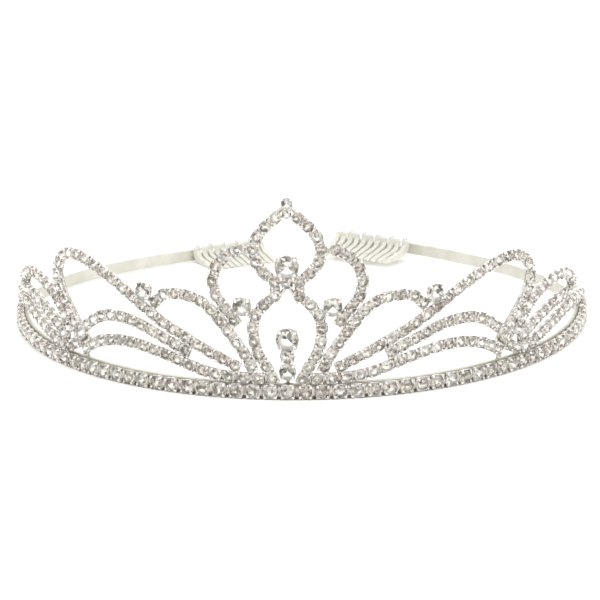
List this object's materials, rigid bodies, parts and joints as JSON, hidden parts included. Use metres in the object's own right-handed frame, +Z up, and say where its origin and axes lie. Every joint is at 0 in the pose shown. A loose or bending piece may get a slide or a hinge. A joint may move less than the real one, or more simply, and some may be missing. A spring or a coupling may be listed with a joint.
{
  "type": "bridal tiara",
  "caption": "Bridal tiara: a crystal-set spring band carries bent-wire leaf scrolls and a pointed centre arch set with round crystals, with clear combs lashed to its arm ends",
  "frame": {"origin": "On the table, under the middle of the box around the tiara", "axes": "+Z up, the front centre faces -Y, +X is the wearer's left and the viewer's right seen from the front"},
  "size_m": [0.1442, 0.1504, 0.0467],
  "materials": {
    "plated_band": "bright silver plate",
    "scroll_wire": "bright silver plate",
    "plated_cups": "bright silver plate",
    "lashing_wire": "bright fine wire",
    "crystal": "cut glass with a silvered back",
    "clear_comb": "clear moulded plastic"
  },
  "bodies": {
    "crown": {"accent_crystals": "crystal", "accent_settings": "plated_cups", "base_row_crystals": "crystal", "base_row_cups": "plated_cups", "front_band": "plated_band", "left_inner_leaf_crystals": "crystal", "left_inner_leaf_cups": "plated_cups", "left_inner_leaf_wire": "scroll_wire", "left_large_leaf_crystals": "crystal", "left_large_leaf_cups": "plated_cups", "left_large_leaf_wire": "scroll_wire", "left_lobe_crystals": "crystal", "left_lobe_cups": "plated_cups", "left_lobe_wire": "scroll_wire", "left_low_leaf_crystals": "crystal", "left_low_leaf_cups": "plated_cups", "left_low_leaf_wire": "scroll_wire", "left_main_arch_crystals": "crystal", "left_main_arch_cups": "plated_cups", "left_main_arch_wire": "scroll_wire", "left_middle_leaf_crystals": "crystal", "left_middle_leaf_cups": "plated_cups", "left_middle_leaf_wire": "scroll_wire", "left_side_leaf_crystals": "crystal", "left_side_leaf_cups": "plated_cups", "left_side_leaf_wire": "scroll_wire", "left_side_scroll_crystals": "crystal", "left_side_scroll_cups": "plated_cups", "left_side_scroll_wire": "scroll_wire", "right_inner_leaf_crystals": "crystal", "right_inner_leaf_cups": "plated_cups", "right_inner_leaf_wire": "scroll_wire", "right_large_leaf_crystals": "crystal", "right_large_leaf_cups": "plated_cups", "right_large_leaf_wire": "scroll_wire", "right_lobe_crystals": "crystal", "right_lobe_cups": "plated_cups", "right_lobe_wire": "scroll_wire", "right_low_leaf_crystals": "crystal", "right_low_leaf_cups": "plated_cups", "right_low_leaf_wire": "scroll_wire", "right_main_arch_crystals": "crystal", "right_main_arch_cups": "plated_cups", "right_main_arch_wire": "scroll_wire", "right_middle_leaf_crystals": "crystal", "right_middle_leaf_cups": "plated_cups", "right_middle_leaf_wire": "scroll_wire", "right_side_leaf_crystals": "crystal", "right_side_leaf_cups": "plated_cups", "right_side_leaf_wire": "scroll_wire", "right_side_scroll_crystals": "crystal", "right_side_scroll_cups": "plated_cups", "right_side_scroll_wire": "scroll_wire"},
    "left_arm": {"left_band_arm": "plated_band", "left_comb": "clear_comb", "left_comb_lashings": "lashing_wire"},
    "right_arm": {"right_band_arm": "plated_band", "right_comb": "clear_comb", "right_comb_lashings": "lashing_wire"}
  },
  "joints": [
    {"name": "left_arm_flex", "type": "hinge", "parent": "crown", "child": "left_arm", "pos_m": [-0.06942, 0.01291, 0.002], "axis": [0, 0, 1], "range_deg": [-5, 12], "stiffness_Nm_per_rad": 0.2},
    {"name": "right_arm_flex", "type": "hinge", "parent": "crown", "child": "right_arm", "pos_m": [0.06942, 0.01291, 0.002], "axis": [0, 0, -1], "range_deg": [-5, 12], "stiffness_Nm_per_rad": 0.2}
  ]
}
